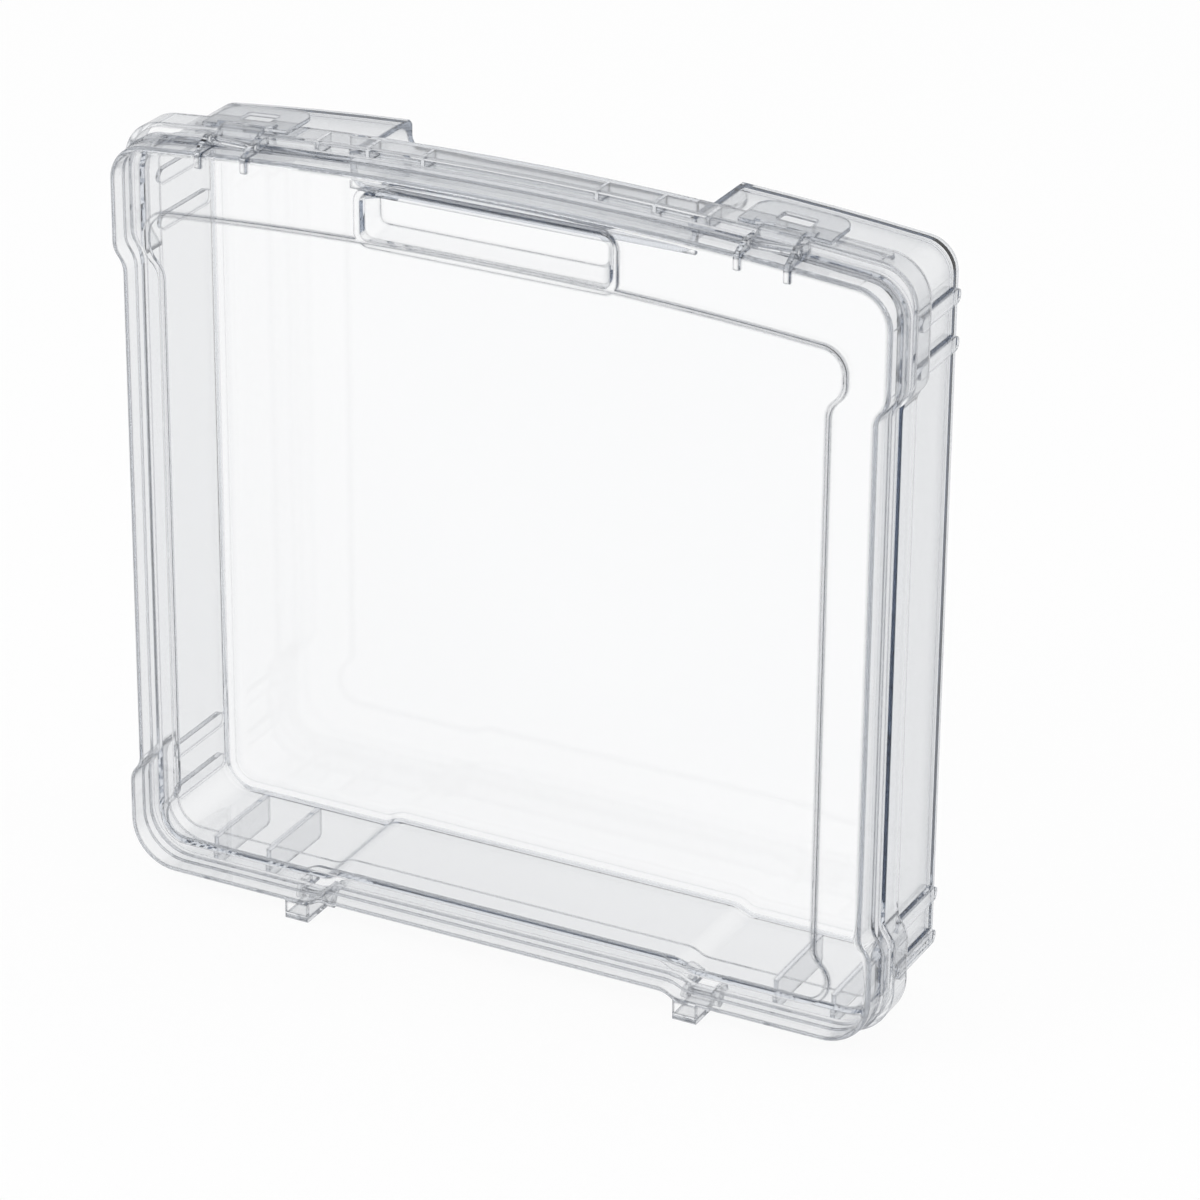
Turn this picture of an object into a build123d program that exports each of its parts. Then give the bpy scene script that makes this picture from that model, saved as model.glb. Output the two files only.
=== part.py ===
# Scrapbook paper storage box: a deep clear tray, a front lid hinged at the foot, and two latches at the top
import os

from build123d import *

# Overall size, in millimetres
box_width = 366
box_height = 361
box_depth = 81

# Sheet and gaps
wall = 2
lid_gap = 0.3
side_gap = 0.3
overlap = 1

# Shared outline: side ears above and below, a raised middle at the foot, and a crowned top
ear_step = 5
ear_slant = 3.1
low_jog = 55
top_ear = 64
high_jog = box_height - top_ear
foot_jog_inset = 96
foot_jog = box_width / 2 - foot_jog_inset
foot_drop = 3.2
foot_slant = 2.8
jog_round = 10
crown_radius = 1800

# Tray rim, the wide front band of the tray
rim_half = box_width / 2 - ear_step
rim_foot = 8.2
rim_low_round = 24
rim_high_round = 19
rim_depth = 13.4

# Lid
flange_inset = 1.7
flange_rise = 1.6
flange_lip = 1.5
flange_depth = 6.3
flange_fall = 4.1
skirt_fall = 1
lid_depth = 20.3
lid_edge_round = 2.6
flange_crown = box_height - flange_fall
skirt_crown = flange_crown - skirt_fall
flange_half = rim_half - flange_inset
flange_foot = rim_foot + flange_rise
skirt_half = flange_half - flange_lip
skirt_foot = flange_foot + flange_rise
skirt_low_round = 22
skirt_high_round = 17

# Stepped panel in the lid's face
panel_step = 1.8
panel_inset = 27.7
panel_half = box_width / 2 - panel_inset
panel_ear = 7
panel_foot = 28.5
panel_fall = 32.3
panel_crown = box_height - panel_fall
panel_low_jog = 45
panel_jog_rise = 2
panel_high_jog = high_jog + panel_jog_rise
panel_round = 12

# Handle pocket in the lid's face
pocket_half = 57.5
pocket_fall = 13.2
pocket_height = 20.3
pocket_high = box_height - pocket_fall
pocket_low = pocket_high - pocket_height
pocket_round = 3.5
pocket_depth = 9
pocket_side_draft = 5
pocket_floor_rise = 6
pocket_roof_fall = 1
pocket_frame = 3

# Tray behind the rim
rim_front = lid_depth + lid_gap
rim_back = rim_front + rim_depth
tray_half = rim_half - 3
tray_foot = 17.7
tray_fall = 7.5
tray_crown = box_height - tray_fall
tray_crown_radius = 1460
tray_round = 14
tray_back_bevel = 2.5
tray_inner_round = 8
channel_side = 1.2

# Hand recess in the tray's top wall
recess_half = 78
recess_fall = 23
recess_floor = box_height - recess_fall
recess_corner = 6

# Short ribs on the tray's shoulders
shoulder_front = 42
shoulder_back = 45
shoulder_rise = 1.5
shoulder_length = 24

# Ribs on the tray's side walls
low_rib = 29.2
high_rib_fall = 38.3
rib_pitch = 20.7
rib_width = 6.5
rib_proud = 3
rib_inset = 6
rib_back = box_depth - rib_inset
rib_heights = (low_rib, low_rib + rib_pitch, box_height - high_rib_fall, box_height - high_rib_fall - rib_pitch)

# Foot plates under the tray's corners
outer_plate_inset = 31
inner_plate_inset = 58
plate_places = (box_width / 2 - outer_plate_inset, box_width / 2 - inner_plate_inset)
plate_thick = 2.2
plate_front = 30
plate_back = rib_back
plate_round = 3

# Stiffening webs in the top of the rim
web_places = (40, 66, 90)
web_thick = 1.5

# Foot hinge
hinge_inset = 88
hinge_x = box_width / 2 - hinge_inset
hinge_y = lid_depth + lid_gap / 2
hinge_z = 3.2
knuckle_radius = 2.9
pin_radius = 1.45
pin_play = 0.05
hook_width = 11
hook_web = 2.6
hook_mouth = 2.2
hook_top = 9.5
hook_bite = 3
hook_front = panel_step
lug_width = 3
lug_back = 28
lug_top = 10
notch_top = 7.4

# Latch pivots and the lid's ears that hold them
latch_inset = 59
latch_x = box_width / 2 - latch_inset
latch_pivot_y = 11
latch_pivot_fall = 6.5
latch_pivot_z = box_height - latch_pivot_fall
latch_barrel = 2.1
ear_spacing = 22
ear_width = 2.5
ear_head = 2.5
ear_top = latch_pivot_z + ear_head
ear_back = 20
ear_flat_front = 8.5
ear_nose = 0.8
ear_drop = 6
ear_round = 2
ear_tip_round = 1

# Latch flaps
neck_width = ear_spacing - ear_width - 2 * side_gap
neck_lift = 3.1
neck_thick = 1.6
neck_under = latch_pivot_z + neck_lift
neck_top = neck_under + neck_thick
stub_length = ear_width
flap_half = 20.5
flap_front = 21
flap_back = 46.5
flap_lift = 0.5
flap_thick = 1.8
flap_corner = 9
window_length = 15
window_width = 9
window_centre = 33.2
ridge_half = 13.5
ridge_depth = 4.5
ridge_rise = 0.9
ridge_bevel = 0.8

# Catches under the latch windows
catch_half = 6
catch_front = 34.4
catch_back = 37
catch_fall = 5.4
catch_top = box_height - catch_fall


def station(depth):
    """Upright plane across the box, at a depth behind the lid's face."""
    return Plane.XZ.offset(box_depth / 2 - depth)


def slice_at(x):
    """Upright plane along the box's depth, with depth behind the face as its first axis."""
    return Plane(origin=(x, -box_depth / 2, 0), x_dir=(0, 1, 0), z_dir=(1, 0, 0))


def sag(x, radius):
    """Fall of a crowned top edge at a distance x from the middle."""
    return radius - (radius**2 - x**2) ** 0.5


def corners(sketch, keep, radius):
    """Rounds those corners of a sketch that a test keeps."""
    fillet([v for v in sketch.vertices() if keep(v)], radius)


def crown_arc(half, crown, radius):
    """Half of a crowned top edge, from its end to the middle."""
    end = (half, crown - sag(half, radius))
    middle = (half / 2, crown - sag(half / 2, radius))
    ThreePointArc(end, middle, (0, crown))


def eared_outline(sketch, half, foot, crown, low_round, high_round, ear, low, high):
    """Outline with side ears, a raised middle at the foot and a crowned top."""
    outer = half + ear
    base = foot - foot_drop
    with BuildLine() as edge:
        Polyline(
            (0, foot),
            (foot_jog - foot_slant, foot),
            (foot_jog + foot_slant, base),
            (outer, base),
            (outer, low - ear_slant),
            (half, low + ear_slant),
            (half, high - ear_slant),
            (outer, high + ear_slant),
            (outer, crown - sag(outer, crown_radius)),
        )
        crown_arc(outer, crown, crown_radius)
        mirror(about=Plane.YZ)
    make_face(edge.edges())
    corners(sketch, lambda v: abs(v.X) > half + ear / 2 and v.Y < low / 2 + base / 2, low_round)
    corners(sketch, lambda v: abs(v.X) > half + ear / 2 and v.Y > high + 2 * ear_slant, high_round)
    corners(
        sketch,
        lambda v: abs(abs(v.X) - foot_jog) < 2 * foot_slant
        and v.Y < foot + overlap
        or abs(abs(v.Y) - low) < 2 * ear_slant
        or abs(abs(v.Y) - high) < 2 * ear_slant,
        jog_round,
    )


def box_outline(sketch, grow):
    """Outline of the tray behind its rim, grown or shrunk all round."""
    half = tray_half + grow
    foot = tray_foot - grow
    crown = tray_crown + grow
    with BuildLine() as edge:
        Polyline(
            (0, foot),
            (foot_jog - foot_slant, foot),
            (foot_jog + foot_slant, foot - foot_drop),
            (half, foot - foot_drop),
            (half, crown - sag(half, tray_crown_radius)),
        )
        crown_arc(half, crown, tray_crown_radius)
        mirror(about=Plane.YZ)
    make_face(edge.edges())
    corners(sketch, lambda v: abs(v.X) > half - overlap, tray_round + grow)
    corners(sketch, lambda v: abs(abs(v.X) - foot_jog) < 2 * foot_slant and v.Y < foot + overlap, jog_round)


def rim_outline(sketch, grow):
    """Outline of the tray's rim, grown or shrunk all round."""
    eared_outline(
        sketch,
        rim_half + grow,
        rim_foot - grow,
        box_height + grow,
        rim_low_round + grow,
        rim_high_round + grow,
        ear_step,
        low_jog,
        high_jog,
    )


def skirt_outline(sketch, grow):
    """Outline of the lid's skirt, grown or shrunk all round."""
    eared_outline(
        sketch,
        skirt_half + grow,
        skirt_foot - grow,
        skirt_crown + grow,
        skirt_low_round + grow,
        skirt_high_round + grow,
        ear_step,
        low_jog,
        high_jog,
    )


def panel_outline(sketch, grow):
    """Outline of the stepped panel, grown or shrunk all round."""
    eared_outline(
        sketch,
        panel_half + grow,
        panel_foot - grow,
        panel_crown + grow,
        panel_round + grow,
        panel_round + grow,
        panel_ear,
        panel_low_jog,
        panel_high_jog,
    )


def pocket_section(depth, side, low, high, round_over):
    """One section of the handle pocket."""
    with BuildSketch(station(depth)) as section:
        with Locations((0, (low + high) / 2)):
            Rectangle(2 * side, high - low)
        fillet(section.vertices(), round_over)
    return section.sketch.face()


def pocket_sections(grow):
    """The pocket's mouth and its bottom, grown by a wall."""
    mouth = pocket_section(
        0,
        pocket_half + grow,
        pocket_low - grow,
        pocket_high + grow,
        pocket_round + grow,
    )
    bottom = pocket_section(
        pocket_depth + grow,
        pocket_half - pocket_side_draft + grow,
        pocket_low + pocket_floor_rise - grow,
        pocket_high - pocket_roof_fall + grow,
        pocket_round + grow,
    )
    return [mouth, bottom]


def crowned_strip(inner, outer, crown, radius, low, high):
    """Strip that follows a crowned top edge at two heights above it."""
    with BuildLine() as edge:
        points = []
        for x in (inner, (inner + outer) / 2, outer):
            points.append((x, crown - sag(x, radius)))
        lower = [(x, z + low) for x, z in points]
        upper = [(x, z + high) for x, z in points]
        ThreePointArc(*lower)
        Line(lower[2], upper[2])
        ThreePointArc(*upper)
        Line(upper[0], lower[0])
    make_face(edge.edges())


# Outer block of the tray behind the rim
with BuildPart() as tray_block:
    with BuildSketch(station(rim_front)) as block_outline:
        box_outline(block_outline, 0)
    extrude(amount=rim_front - box_depth)
    chamfer(tray_block.edges().group_by(Axis.Y)[-1], tray_back_bevel)

# Space inside the tray
with BuildPart() as tray_space:
    with BuildSketch(station(rim_front)) as space_outline:
        box_outline(space_outline, -wall)
    extrude(amount=rim_front + wall - box_depth)
    fillet(tray_space.edges().group_by(Axis.Y)[-1], tray_inner_round)

# Walls of the hand recess, cut from the same block
with BuildPart() as recess_shell:
    add(tray_block.part)
    with BuildSketch(station(rim_back - wall)) as shell_outline:
        with Locations((0, recess_floor - wall)):
            Rectangle(2 * (recess_half + wall), box_height - recess_floor, align=(Align.CENTER, Align.MIN))
        corners(shell_outline, lambda v: v.Y < recess_floor, recess_corner + wall)
    extrude(amount=rim_back - wall - box_depth, mode=Mode.INTERSECT)

# Tray rim: a front plate and an outer skirt
with BuildPart() as rim_frame:
    with BuildSketch(station(rim_front)) as rim_outside:
        rim_outline(rim_outside, 0)
    extrude(amount=-rim_depth)
    with BuildSketch(station(rim_front + wall)) as channel:
        rim_outline(channel, -wall)
        with BuildSketch(mode=Mode.PRIVATE) as core:
            box_outline(core, channel_side)
        add(core.sketch, mode=Mode.SUBTRACT)
    extrude(amount=-rim_depth, mode=Mode.SUBTRACT)

# Short rib on the tray's right shoulder
with BuildPart() as shoulder:
    with BuildSketch(station(shoulder_front)):
        crowned_strip(
            tray_half - tray_round - shoulder_length,
            tray_half - tray_round,
            tray_crown,
            tray_crown_radius,
            -wall / 2,
            shoulder_rise,
        )
    extrude(amount=shoulder_front - shoulder_back)

# Tray
with BuildPart() as base_tray:
    add(rim_frame.part)
    add(tray_block.part)
    add(shoulder.part)
    mirror(shoulder.part, about=Plane.YZ)
    add(tray_space.part, mode=Mode.SUBTRACT)
    add(recess_shell.part)
    with BuildSketch(station(rim_back - wall)) as screen:
        rim_outline(screen, -wall / 2)
        with Locations((0, recess_floor - wall)):
            Rectangle(
                2 * (recess_half + wall),
                box_height,
                align=(Align.CENTER, Align.MIN),
                mode=Mode.INTERSECT,
            )
    extrude(amount=-wall)
    with BuildSketch(station(rim_back)) as recess_cut:
        with Locations((0, recess_floor)):
            Rectangle(2 * recess_half, box_height - recess_floor, align=(Align.CENTER, Align.MIN))
        corners(recess_cut, lambda v: v.Y < recess_floor + overlap, recess_corner)
    extrude(amount=rim_back - box_depth, mode=Mode.SUBTRACT)
    for side in (-1, 1):
        # Ribs on the side wall
        with BuildSketch(Plane.YZ.offset(side * (tray_half - overlap))):
            for height in rib_heights:
                with Locations(((rim_back + rib_back - box_depth) / 2, height)):
                    SlotOverall(rib_back - rim_back, rib_width)
        extrude(amount=side * (rib_proud + overlap))
        # Foot plates
        for place in plate_places:
            with BuildSketch(slice_at(side * place - plate_thick / 2)) as plate:
                with Locations((plate_front, 0)):
                    Rectangle(
                        plate_back - plate_front,
                        tray_foot - foot_drop + overlap,
                        align=(Align.MIN, Align.MIN),
                    )
                corners(plate, lambda v: v.Y < overlap, plate_round)
            extrude(amount=plate_thick)
        # Webs in the rim's top channel
        for place in web_places:
            with BuildSketch(slice_at(side * place - web_thick / 2)):
                with Locations((rim_front + wall / 2, tray_crown - sag(place, tray_crown_radius) - wall / 2)):
                    Rectangle(
                        rim_depth - wall,
                        box_height - tray_crown,
                        align=(Align.MIN, Align.MIN),
                    )
            extrude(amount=web_thick)
        # Catch under the latch window
        with BuildSketch(slice_at(side * latch_x - catch_half)) as catch:
            with Locations((catch_front, tray_crown - sag(latch_x + catch_half, tray_crown_radius) - wall / 2)):
                Rectangle(
                    catch_back - catch_front,
                    catch_top - tray_crown + sag(latch_x + catch_half, tray_crown_radius) + wall / 2,
                    align=(Align.MIN, Align.MIN),
                )
            corners(catch, lambda v: v.Y > catch_top - overlap, wall / 2)
        extrude(amount=2 * catch_half)
        # Notch for the lid's hook
        notch_half = hook_width / 2 + side_gap
        with BuildSketch(slice_at(side * hinge_x - notch_half)):
            with Locations((rim_front - overlap, 0)):
                Rectangle(rim_depth + 2 * overlap, notch_top, align=(Align.MIN, Align.MIN))
        extrude(amount=2 * notch_half, mode=Mode.SUBTRACT)
        # Hinge lugs and their pin
        for edge in (-notch_half - lug_width, notch_half):
            with BuildSketch(slice_at(side * hinge_x + edge)):
                with Locations((hinge_y, hinge_z)):
                    Circle(knuckle_radius)
                with BuildLine():
                    Polyline(
                        (rim_front, hinge_z),
                        (rim_front, lug_top),
                        (lug_back, lug_top),
                        (lug_back, hinge_z + knuckle_radius),
                        (hinge_y + knuckle_radius, hinge_z),
                        close=True,
                    )
                make_face()
            extrude(amount=lug_width)
        with BuildSketch(slice_at(side * hinge_x - notch_half - overlap)):
            with Locations((hinge_y, hinge_z)):
                Circle(pin_radius)
        extrude(amount=2 * (notch_half + overlap))

# Lid
with BuildPart() as lid:
    with BuildSketch(station(panel_step)) as skirt:
        skirt_outline(skirt, 0)
    extrude(amount=panel_step - lid_depth)
    fillet(lid.edges().group_by(Axis.Y)[0], lid_edge_round)
    with BuildSketch(station(lid_depth - flange_depth)) as flange:
        eared_outline(
            flange,
            flange_half,
            flange_foot,
            flange_crown,
            skirt_low_round + flange_lip,
            skirt_high_round + flange_lip,
            ear_step,
            low_jog,
            high_jog,
        )
    extrude(amount=-flange_depth)
    with BuildSketch(station(panel_step + wall)) as lid_inside:
        skirt_outline(lid_inside, -wall)
    extrude(amount=panel_step + wall - lid_depth, mode=Mode.SUBTRACT)
    # Stepped panel, as one sheet of even thickness
    with BuildSketch(station(0)) as panel:
        panel_outline(panel, 0)
    extrude(amount=-panel_step - wall / 2)
    with BuildSketch(station(wall)) as panel_back:
        panel_outline(panel_back, -wall)
    extrude(amount=-panel_step - overlap, mode=Mode.SUBTRACT)
    # Handle pocket with its frame
    with BuildSketch(station(0)) as frame_outline:
        with Locations((0, (pocket_low + pocket_high) / 2)):
            Rectangle(2 * (pocket_half + pocket_frame), pocket_high - pocket_low + 2 * pocket_frame)
        fillet(frame_outline.vertices(), pocket_round + pocket_frame)
    extrude(amount=-panel_step - wall / 2)
    loft(pocket_sections(wall))
    loft(pocket_sections(0), mode=Mode.SUBTRACT)
    for side in (-1, 1):
        # Latch ears across the skirt's top
        for place in (latch_x - ear_spacing / 2, latch_x + ear_spacing / 2):
            skirt_top = skirt_crown - sag(place + ear_width / 2, crown_radius)
            with BuildSketch(slice_at(side * place - ear_width / 2)) as ear:
                with BuildLine():
                    Polyline(
                        (0, skirt_top - ear_drop),
                        (0, skirt_top + ear_nose),
                        (ear_flat_front, ear_top),
                        (ear_back, ear_top),
                        (ear_back, skirt_top - wall / 2),
                        (panel_step + wall / 2, skirt_top - wall / 2),
                        (panel_step + wall / 2, skirt_top - ear_drop),
                        close=True,
                    )
                make_face()
                corners(ear, lambda v: v.X < overlap and v.Y < skirt_top, ear_tip_round)
                corners(ear, lambda v: v.Y > skirt_top, ear_round)
                with Locations((latch_pivot_y, latch_pivot_z)):
                    Circle(pin_radius + pin_play, mode=Mode.SUBTRACT)
            extrude(amount=ear_width)
        # Hook that hangs on the tray's pin
        with BuildSketch(slice_at(side * hinge_x - hook_width / 2)) as hook:
            with Locations((hinge_y, hinge_z)):
                Circle(knuckle_radius)
            with Locations((hook_front, hinge_z - knuckle_radius)):
                Rectangle(hinge_y - hook_front, hook_web, align=(Align.MIN, Align.MIN))
                Rectangle(wall, hook_top + hook_bite - hinge_z + knuckle_radius, align=(Align.MIN, Align.MIN))
            with Locations((hinge_y - knuckle_radius, hinge_z)):
                Rectangle(
                    lid_depth - hinge_y + knuckle_radius,
                    hook_top - hinge_z,
                    align=(Align.MIN, Align.MIN),
                )
            corners(hook, lambda v: v.X < hook_front + overlap and v.Y < hinge_z, wall / 2)
            with Locations((hinge_y, hinge_z)):
                Circle(pin_radius + pin_play, mode=Mode.SUBTRACT)
                Rectangle(
                    2 * knuckle_radius,
                    hook_mouth,
                    align=(Align.MIN, Align.CENTER),
                    mode=Mode.SUBTRACT,
                )
        extrude(amount=hook_width)

# Thick ridge across the front of the right latch
with BuildPart() as ridge:
    with BuildSketch(station(flap_front)):
        crowned_strip(
            latch_x - ridge_half,
            latch_x + ridge_half,
            box_height,
            crown_radius,
            flap_lift,
            flap_lift + flap_thick + ridge_rise,
        )
    extrude(amount=-ridge_depth)
    chamfer(ridge.faces().sort_by(Axis.Z)[-1].edges().filter_by(GeomType.CIRCLE), ridge_bevel)

# Right latch
with BuildPart() as right_latch:
    with BuildSketch(station(flap_front)):
        crowned_strip(
            latch_x - flap_half,
            latch_x + flap_half,
            box_height,
            crown_radius,
            flap_lift,
            flap_lift + flap_thick,
        )
    extrude(amount=flap_front - flap_back)
    rear = right_latch.edges().filter_by(Axis.Z).group_by(Axis.Y)[-1]
    fillet(rear, flap_corner)
    add(ridge.part)
    with BuildSketch(slice_at(latch_x - neck_width / 2)) as neck:
        with Locations((latch_pivot_y, latch_pivot_z)):
            Circle(latch_barrel)
        with BuildLine():
            Polyline(
                (latch_pivot_y, latch_pivot_z),
                (latch_pivot_y, latch_pivot_z + latch_barrel),
                (ear_back - wall, neck_top),
                (flap_front + wall, neck_top),
                (flap_front + wall, neck_under),
                (ear_back, neck_under),
                (latch_pivot_y + latch_barrel, latch_pivot_z),
                close=True,
            )
        make_face()
    extrude(amount=neck_width)
    with BuildSketch(slice_at(latch_x - neck_width / 2 - stub_length)):
        with Locations((latch_pivot_y, latch_pivot_z)):
            Circle(pin_radius)
    extrude(amount=neck_width + 2 * stub_length)
    with BuildSketch(Plane(origin=(latch_x, window_centre - box_depth / 2, neck_under - window_width))) as window:
        Rectangle(window_length, window_width)
        fillet(window.vertices(), wall / 2)
    extrude(amount=2 * window_width, mode=Mode.SUBTRACT)

# Left latch
with BuildPart() as left_latch:
    mirror(right_latch.part, about=Plane.YZ)

os.makedirs("parts", exist_ok=True)
base_tray.part.label = "base_tray"
export_step(base_tray.part, "parts/base_tray.step")
lid.part.label = "lid"
export_step(lid.part, "parts/lid.step")
right_latch.part.label = "right_latch"
export_step(right_latch.part, "parts/right_latch.step")
left_latch.part.label = "left_latch"
export_step(left_latch.part, "parts/left_latch.step")
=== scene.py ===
"""Looks of the clear scrapbook paper box: moulded plastic, soft studio light and the camera."""

import bpy
from mathutils import Matrix, Vector

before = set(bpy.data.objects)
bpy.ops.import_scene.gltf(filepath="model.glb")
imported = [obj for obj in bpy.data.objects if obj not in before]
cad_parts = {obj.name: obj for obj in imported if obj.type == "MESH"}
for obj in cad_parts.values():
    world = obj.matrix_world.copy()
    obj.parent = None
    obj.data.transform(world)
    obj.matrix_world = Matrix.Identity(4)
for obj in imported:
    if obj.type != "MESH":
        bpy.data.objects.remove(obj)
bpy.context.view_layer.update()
scene = bpy.context.scene

# Clear plastic: tint face-on, and painted shade where it is seen slanted and along a moulded edge
SHEET_TINT = (0.996, 0.997, 0.998, 1)
FLAP_TINT = (0.94, 0.946, 0.955, 1)
SLANT_PAINTED_SHADE = (0.50, 0.515, 0.54, 1)
EDGE_PAINTED_SHADE = (0.15, 0.16, 0.18, 1)
# Where the painted slanted shade, the painted edge line and the painted grazing band start and end
SLANT_SPAN = (0.2, 0.75)
LINE_SPAN = (0.98, 0.75)
SKIM_SPAN = (0.7, 0.95)
SKIM_SHARE = 0.85
SCUFF_SPAN = (0.48, 0.72)
# Width of an edge line and height of the flow waves, in metres
EDGE_WIDTH = 0.0018
WAVE_HEIGHT = 0.0006
WAVE_STRENGTH = 0.04
PLASTIC_IOR = 1.49
DEPTH_TINT = (0.82, 0.84, 0.87, 1)
DEPTH_DENSITY = 30
# Light caught in a thin wall needs many passes to leave it; with fewer it ends as black
LIGHT_PASSES = 128

# Floor and surroundings
WHITE = (1, 1, 1, 1)
FLOOR_TINT = (0.9, 0.9, 0.9, 1)
FLOOR_ROUGH = 0.9
FLOOR_SIZE = 12
FLOOR_SHARE = 0.06
ROOM_LIGHT = 0.75
LAMP_AIM = (0, 0, 0.18)

# Camera at the photograph's viewing angle
LENS = 155.95
CAMERA_PLACE = (0.93682, -1.762406, 1.100642)
SIGHT = (
    (0.8882347826619577, 0.4593243356845004, 0.007754064566276586),
    (0.20184644272293262, -0.37505405785723545, -0.9047610000673993),
    (-0.4126705519290218, 0.8052053206051579, -0.425849042781254),
)


def spread(tree, value, span, low=0, high=1):
    """Spreads a value's span over low to high, and stops at both ends."""
    node = tree.nodes.new("ShaderNodeMapRange")
    node.inputs["From Min"].default_value, node.inputs["From Max"].default_value = span
    node.inputs["To Min"].default_value = low
    node.inputs["To Max"].default_value = high
    tree.links.new(value, node.inputs["Value"])
    return node.outputs["Result"]


def larger(tree, first, second):
    """The larger of two values."""
    node = tree.nodes.new("ShaderNodeMath")
    node.operation = "MAXIMUM"
    tree.links.new(first, node.inputs[0])
    tree.links.new(second, node.inputs[1])
    return node.outputs["Value"]


def blend(tree, share, first, second):
    """Mixes two tints by a share; each is a tint or another node's output."""
    node = tree.nodes.new("ShaderNodeMix")
    node.data_type = "RGBA"
    for name, tint in (("A", first), ("B", second)):
        if isinstance(tint, tuple):
            node.inputs[name].default_value = tint
        else:
            tree.links.new(tint, node.inputs[name])
    tree.links.new(share, node.inputs["Factor"])
    return node.outputs["Result"]


def in_sight(tree):
    """1 for what is seen straight, mirrored or through the plastic, and 0 for what only lights it."""
    path = tree.nodes.new("ShaderNodeLightPath")
    seen = larger(tree, path.outputs["Is Camera Ray"], path.outputs["Is Glossy Ray"])
    return larger(tree, seen, path.outputs["Is Transmission Ray"])


def choose(tree, share, first, second):
    """Mixes two shaders; the share is a number or another node's output."""
    node = tree.nodes.new("ShaderNodeMixShader")
    if isinstance(share, float):
        node.inputs["Fac"].default_value = share
    else:
        tree.links.new(share, node.inputs["Fac"])
    tree.links.new(first, node.inputs[1])
    tree.links.new(second, node.inputs[2])
    return node.outputs["Shader"]


# Clear moulded plastic
def moulding_waves():
    """Group: soft flow waves and fine scuffs of a moulded clear sheet, as a height and a mask."""
    group = bpy.data.node_groups.new("moulding_waves", "ShaderNodeTree")
    for name, way in (("Wave size", "INPUT"), ("Scuff size", "INPUT"), ("Height", "OUTPUT"), ("Scuffs", "OUTPUT")):
        group.interface.new_socket(name, in_out=way, socket_type="NodeSocketFloat")
    inside = group.nodes.new("NodeGroupInput")
    outside = group.nodes.new("NodeGroupOutput")
    place = group.nodes.new("ShaderNodeTexCoord")

    def noise(size, detail, roughness):
        texture = group.nodes.new("ShaderNodeTexNoise")
        texture.inputs["Detail"].default_value = detail
        texture.inputs["Roughness"].default_value = roughness
        group.links.new(place.outputs["Object"], texture.inputs["Vector"])
        group.links.new(inside.outputs[size], texture.inputs["Scale"])
        return texture.outputs["Fac"]

    group.links.new(noise("Wave size", 1.5, 0.35), outside.inputs["Height"])
    scuffs = spread(group, noise("Scuff size", 5, 0.6), SCUFF_SPAN)
    group.links.new(scuffs, outside.inputs["Scuffs"])
    return group


WAVES = moulding_waves()


def clear_plastic(name, wave_size, scuff_size, low_rough, high_rough, face_tint):
    """Clear plastic with painted grey shade where it is seen edge-on and along moulded edges, with flow waves and
    faint scuffs.
    """
    material = bpy.data.materials.new(name)
    material.use_nodes = True
    tree = material.node_tree
    nodes, links = tree.nodes, tree.links
    shader = nodes["Principled BSDF"]
    shader.inputs["Transmission Weight"].default_value = 1
    shader.inputs["IOR"].default_value = PLASTIC_IOR
    shader.inputs["Metallic"].default_value = 0

    # Painted shade in the base colour: grey lines where a moulded edge turns, and a grey band where a surface is
    # grazed
    slant = nodes.new("ShaderNodeLayerWeight")
    slant.inputs["Blend"].default_value = 0.5
    edge = nodes.new("ShaderNodeBevel")
    edge.inputs["Radius"].default_value = EDGE_WIDTH
    own = nodes.new("ShaderNodeNewGeometry")
    bend = nodes.new("ShaderNodeVectorMath")
    bend.operation = "DOT_PRODUCT"
    links.new(edge.outputs["Normal"], bend.inputs[0])
    links.new(own.outputs["Normal"], bend.inputs[1])
    edge_shade_mask = spread(tree, bend.outputs["Value"], LINE_SPAN)
    grazing_shade_mask = spread(tree, slant.outputs["Facing"], SKIM_SPAN, high=SKIM_SHARE)
    slant_shaded_tint = blend(tree, spread(tree, slant.outputs["Facing"], SLANT_SPAN), face_tint, SLANT_PAINTED_SHADE)
    links.new(blend(tree, larger(tree, edge_shade_mask, grazing_shade_mask), slant_shaded_tint, EDGE_PAINTED_SHADE), shader.inputs["Base Color"])

    # Flow waves bend the light a little, and scuffs dull it in places
    waves = nodes.new("ShaderNodeGroup")
    waves.node_tree = WAVES
    waves.inputs["Wave size"].default_value = wave_size
    waves.inputs["Scuff size"].default_value = scuff_size
    rough = spread(tree, waves.outputs["Scuffs"], (0, 1), low_rough, high_rough)
    links.new(rough, shader.inputs["Roughness"])
    bump = nodes.new("ShaderNodeBump")
    bump.inputs["Strength"].default_value = WAVE_STRENGTH
    bump.inputs["Distance"].default_value = WAVE_HEIGHT
    links.new(waves.outputs["Height"], bump.inputs["Height"])
    links.new(bump.outputs["Normal"], shader.inputs["Normal"])

    # Thick plastic is greyer than thin
    depth = nodes.new("ShaderNodeVolumeAbsorption")
    depth.inputs["Color"].default_value = DEPTH_TINT
    depth.inputs["Density"].default_value = DEPTH_DENSITY
    links.new(depth.outputs["Volume"], nodes["Material Output"].inputs["Volume"])
    return material


tray_plastic = clear_plastic("tray_plastic", 14, 160, 0.005, 0.03, SHEET_TINT)
lid_plastic = clear_plastic("lid_plastic", 11, 150, 0.003, 0.02, SHEET_TINT)
latch_plastic = clear_plastic("latch_plastic", 40, 220, 0.01, 0.05, FLAP_TINT)
for node, plastic in (
    ("base_tray", tray_plastic),
    ("lid", lid_plastic),
    ("right_latch", latch_plastic),
    ("left_latch", latch_plastic),
):
    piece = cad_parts[node]
    piece.data.materials.clear()
    piece.data.materials.append(plastic)


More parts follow.
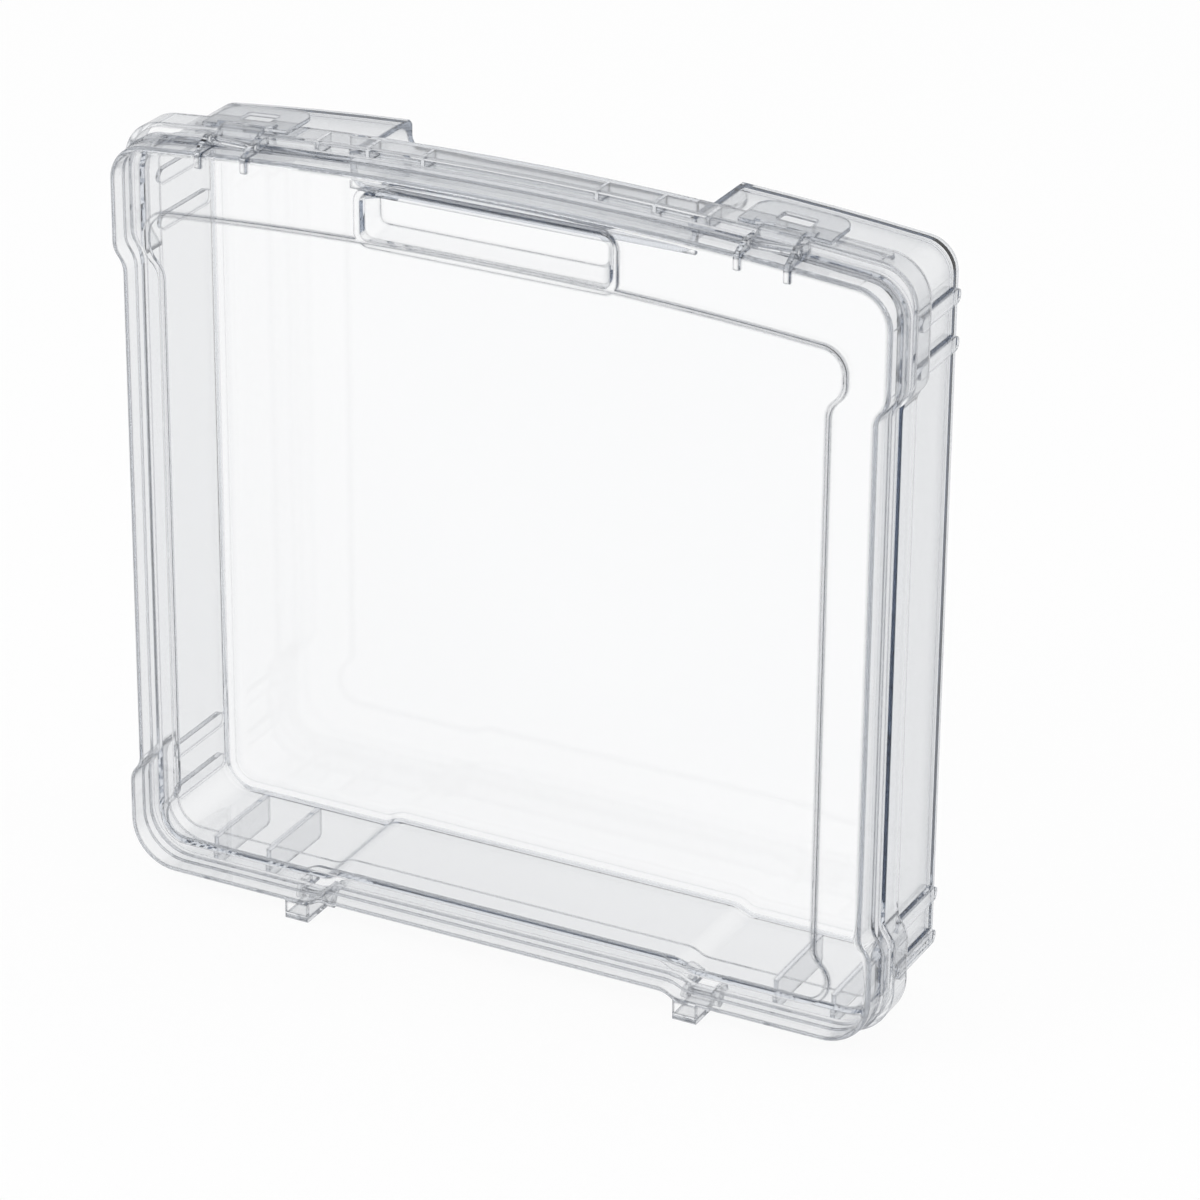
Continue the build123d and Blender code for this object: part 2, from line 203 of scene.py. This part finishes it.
# Floor and surroundings
def pale_floor():
    """A faint matt floor that keeps the shadow and lets the white surroundings show through."""
    material = bpy.data.materials.new("pale_floor")
    material.use_nodes = True
    tree = material.node_tree
    matt = tree.nodes["Principled BSDF"]
    matt.inputs["Base Color"].default_value = FLOOR_TINT
    matt.inputs["Roughness"].default_value = FLOOR_ROUGH
    clear = tree.nodes.new("ShaderNodeBsdfTransparent")
    faint = choose(tree, FLOOR_SHARE, clear.outputs["BSDF"], matt.outputs["BSDF"])
    surface = choose(tree, in_sight(tree), matt.outputs["BSDF"], faint)
    tree.links.new(surface, tree.nodes["Material Output"].inputs["Surface"])
    return material


def studio_world():
    """Even pale surroundings, white behind and through the object."""
    world = bpy.data.worlds.new("studio")
    scene.world = world
    world.use_nodes = True
    tree = world.node_tree
    light = tree.nodes["Background"]
    light.inputs["Color"].default_value = WHITE
    light.inputs["Strength"].default_value = ROOM_LIGHT
    back = tree.nodes.new("ShaderNodeBackground")
    back.inputs["Color"].default_value = WHITE
    back.inputs["Strength"].default_value = 1
    surface = choose(tree, in_sight(tree), light.outputs["Background"], back.outputs["Background"])
    tree.links.new(surface, tree.nodes["World Output"].inputs["Surface"])


bpy.ops.mesh.primitive_plane_add(size=FLOOR_SIZE, location=(0, 0, 0))
floor = bpy.context.object
floor.name = "floor"
floor.data.materials.append(pale_floor())
studio_world()


def soft_lamp(name, place, size, power):
    """A square soft lamp turned to the middle of the box."""
    data = bpy.data.lights.new(name, "AREA")
    data.shape = "SQUARE"
    data.size = size
    data.energy = power
    lamp = bpy.data.objects.new(name, data)
    scene.collection.objects.link(lamp)
    lamp.location = place
    aim = Vector(LAMP_AIM) - Vector(place)
    lamp.rotation_euler = aim.to_track_quat("-Z", "Y").to_euler()
    lamp.visible_camera = False
    lamp.visible_transmission = False


soft_lamp("key_lamp", (-1.2, -1.5, 1.6), 0.9, 14)
soft_lamp("side_lamp", (1.6, 0.2, 1.1), 0.7, 7)

camera_data = bpy.data.cameras.new("camera")
camera_data.sensor_width = 36
camera_data.lens = LENS
camera_data.clip_end = 50
camera = bpy.data.objects.new("camera", camera_data)
scene.collection.objects.link(camera)
across, down, forward = (Vector(row) for row in SIGHT)
turn = Matrix((across, -down, -forward)).transposed()
camera.matrix_world = Matrix.Translation(CAMERA_PLACE) @ turn.to_4x4()
scene.camera = camera

scene.view_settings.view_transform = "Standard"
scene.cycles.max_bounces = LIGHT_PASSES
scene.cycles.glossy_bounces = LIGHT_PASSES
scene.cycles.transmission_bounces = LIGHT_PASSES
